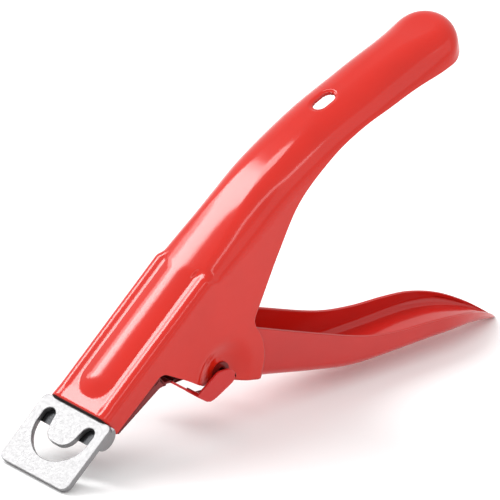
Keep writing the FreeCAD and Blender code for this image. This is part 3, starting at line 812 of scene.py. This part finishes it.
def tube(line, radius, sides=12):
    """Round wire along a line of points, with closed ends."""
    verts, faces = [], []
    side = Vector((0, 0, 1))
    for i, p in enumerate(line):
        run = (line[min(i + 1, len(line) - 1)] - line[max(i - 1, 0)]).normalized()
        side = (side - run * side.dot(run)).normalized()
        other = run.cross(side)
        for k in range(sides):
            a = 2 * math.pi * k / sides
            verts.append(tuple(p + (side * math.cos(a) + other * math.sin(a)) * radius))
    for i in range(len(line) - 1):
        for k in range(sides):
            a, b = i * sides + k, i * sides + (k + 1) % sides
            faces.append((a, b, b + sides, a + sides))
    faces.append(tuple(range(sides - 1, -1, -1)))
    faces.append(tuple((len(line) - 1) * sides + k for k in range(sides)))
    return verts, faces


def coil(angle):
    """Point of the coil's centre line."""
    a = math.radians(angle)
    t = (angle - SPRING_FROM) / (SPRING_TO - SPRING_FROM)
    return Vector((PIVOT[0] + SPRING_R * math.cos(a), PIVOT[1] + SPRING_R * math.sin(a),
                   SPRING_HALF * (2 * t - 1)))


coils = [coil(a) for a in range(SPRING_FROM, SPRING_TO + 1, SPRING_STEP)]
lead = (coils[0] - coils[1]).normalized()
trail = (coils[-1] - coils[-2]).normalized()
moving = [coils[0] + lead * LEVER_LEG, coils[0] + lead] + coils[:LEG_OVERLAP[1]]
fixed = coils[LEG_OVERLAP[0]:] + [coils[-1] + trail, coils[-1] + trail * GUARD_LEG]
add_object("spring_coil", *tube(fixed, WIRE), mat_spring, "frame", "spring_steel", "return_spring")
add_object("spring_lever_leg", *tube(moving, WIRE - LEG_THINNER), mat_spring, "lever", "spring_steel")

# --- head plate -----------------------------------------------------------------------------------
PLATE_TOP, PLATE_LOW, PLATE_ROUND = 4.45, 3.15, 0.16
SLOT_C, SLOT_R = -5.2, 7.5
SLOT_FROM, SLOT_TO = 99.2, 260.8                  # ends of the crescent's outer arc, degrees
HOOK_X, HOOK_Z, HOOK_R = -4.0, 5.85, 1.65
ROOT = HOOK_Z - HOOK_R
FINGER_REACH, FINGER_HALF, FINGER_R = 3.5, 3.3, 3.2
ARC_STEPS, HOOK_STEPS = 60, 20
LUG_HALF, LUG_DEEP, LUG_ROOT = 2.75, 2.3, 0.35    # half length, depth, and how far up it starts
LUG_IN, LUG_OUT = 8.7, 9.98


def crescent():
    """Outline of the slot: its outer arc, and the two hooks with the finger between them."""
    line = []
    for k in range(ARC_STEPS + 1):
        a = math.radians(SLOT_FROM + (SLOT_TO - SLOT_FROM) * k / ARC_STEPS)
        line.append((SLOT_C + SLOT_R * math.cos(a), SLOT_R * math.sin(a)))
    hook = []
    for k in range(1, HOOK_STEPS):
        a = math.radians(-90 + 180 * k / HOOK_STEPS)
        hook.append((HOOK_X + HOOK_R * math.cos(a), -HOOK_Z + HOOK_R * math.sin(a)))
    front = SLOT_C - FINGER_REACH
    finger = rounded([(HOOK_X, -ROOT, 0), (front, -FINGER_HALF, FINGER_R), (front, FINGER_HALF, FINGER_R),
                      (HOOK_X, ROOT, 0), (6, 0, 0)], 14)[:-1]
    back = [(x, -z) for x, z in reversed(hook)]
    return line + [(HOOK_X, -SLOT_R)] + hook + finger + back + [(HOOK_X, SLOT_R)]


def upright(face):
    """Whether a face belongs to the sheared edge: it is not level with the plate."""
    heights = [p[1] for p in face]
    return max(heights) - min(heights) > 0.001


plate_line = rounded([(-16.8, -10, 1.8), (-0.1, -10, 1.4), (-0.1, -6.8, 0), (11.5, -6.8, 1),
                      (11.5, 6.8, 1), (-0.1, 6.8, 0), (-0.1, 10, 1.4), (-16.8, 10, 1.8)])
plate = prism(plate_line, PLATE_LOW, PLATE_TOP, PLATE_ROUND, "y", [crescent()], 4)
band, flats = split(plate, upright)
weigh_normals(add_object("head_plate_stamped", *flats, mat_plate, "frame", "plate_steel", "head_plate"))
add_object("head_plate_sheared_edge", *band, mat_edge, "frame", "plate_steel")

lug_line = []
for angle in range(180, 361, 5):
    a = math.radians(angle)
    lug_line.append((LUG_HALF * (math.cos(a) - 1), PLATE_LOW + LUG_ROOT + LUG_DEEP * math.sin(a)))
lug = prism(lug_line, LUG_IN, LUG_OUT, 0.12)
weigh_normals(add_object("head_plate_lugs", *joined(lug, mirrored(lug)), mat_edge, "frame", "plate_steel"))

# --- floor, light, camera -------------------------------------------------------------------------
FLOOR_HALF = 6.0
CAMERA_DISTANCE, VIEW_WIDTH = 4.0, 0.1022          # metres; the width is the one seen at the target
TARGET = (45.76, 6.96, 13.51)
RIGHT = Vector((0.58441, -0.43236, 0.68669))
TO_CAMERA = Vector((-0.18632, 0.75213, 0.63213))

floor_mesh = bpy.data.meshes.new("floor")
floor_corners = [(-FLOOR_HALF, -FLOOR_HALF, 0), (FLOOR_HALF, -FLOOR_HALF, 0),
                 (FLOOR_HALF, FLOOR_HALF, 0), (-FLOOR_HALF, FLOOR_HALF, 0)]
floor_mesh.from_pydata(floor_corners, [], [(0, 1, 2, 3)])
floor_obj = bpy.data.objects.new("floor", floor_mesh)
bpy.context.scene.collection.objects.link(floor_obj)
mat_floor, floor_tree, floor_sh = material("floor_white")
floor_noise = noise(floor_tree, 30.0)
floor_col = ramp(floor_tree, floor_noise.outputs["Fac"], [(0.0, grey(0.93)), (1.0, grey(0.95))])
floor_tree.links.new(floor_col.outputs["Color"], floor_sh.inputs["Base Color"])
floor_sh.inputs["Roughness"].default_value = 0.9
floor_sh.inputs["Specular IOR Level"].default_value = 0.1
floor_mesh.materials.append(mat_floor)

world = bpy.data.worlds.new("studio")
bpy.context.scene.world = world
world.use_nodes = True
world.node_tree.nodes["Background"].inputs["Color"].default_value = (1.0, 1.0, 1.0, 1.0)
world.node_tree.nodes["Background"].inputs["Strength"].default_value = 0.92


AIM = Vector((0, 0, 0.03))                         # metres: the middle of the tool


def softbox(name, direction, distance, size, radiance):
    """Rectangular light aimed at the middle of the tool; radiance is what a mirror would show."""
    light = bpy.data.lights.new(name, "AREA")
    light.shape = "RECTANGLE"
    light.size, light.size_y = size
    light.energy = radiance * math.pi * size[0] * size[1]
    obj = bpy.data.objects.new(name, light)
    bpy.context.scene.collection.objects.link(obj)
    back = Vector(direction).normalized()
    obj.location = AIM + back * distance
    obj.rotation_mode = "QUATERNION"
    obj.rotation_quaternion = back.to_track_quat("Z", "Y")
    obj.visible_camera = False


def overhead(name, x, y, width, length, turn, height, radiance):
    """Level oval softbox with its middle at x, y and height, turned about the vertical."""
    light = bpy.data.lights.new(name, "AREA")
    light.shape = "ELLIPSE"
    light.size, light.size_y = width, length
    light.energy = radiance * math.pi ** 2 / 4 * width * length
    obj = bpy.data.objects.new(name, light)
    bpy.context.scene.collection.objects.link(obj)
    obj.location = (x, y, height)
    obj.rotation_euler = (0, 0, math.radians(turn))
    obj.visible_camera = False


overhead("core", -0.55, 1.12, 0.36, 1.9, 19, 1.2, 9.6)
overhead("shoulder", -0.74, 1.9, 0.6, 2.4, 10, 1.22, 5.2)
softbox("line", (-0.44, -0.49, 0.75), 1.6, (2.4, 0.12), 5.0)
softbox("front_fill", (0.30, -0.85, 0.45), 2.0, (1.6, 1.2), 0.6)


def turned(v):
    """A direction of the working frame, stood up."""
    return (place(v) - place((0, 0, 0))) * 1000


camera_data = bpy.data.cameras.new("camera")
camera_data.sensor_width = 36.0
camera_data.lens = camera_data.sensor_width * CAMERA_DISTANCE / VIEW_WIDTH
camera_data.clip_start, camera_data.clip_end = 0.1, 50.0
camera = bpy.data.objects.new("camera", camera_data)
bpy.context.scene.collection.objects.link(camera)
back = turned(TO_CAMERA).normalized()
right = turned(RIGHT)
right = (right - back * right.dot(back)).normalized()
upward = back.cross(right)
pose = Matrix((right, upward, back)).transposed().to_4x4()
pose.translation = place(TARGET) + back * CAMERA_DISTANCE
camera.matrix_world = pose
bpy.context.scene.camera = camera
bpy.context.scene.view_settings.view_transform = "Standard"
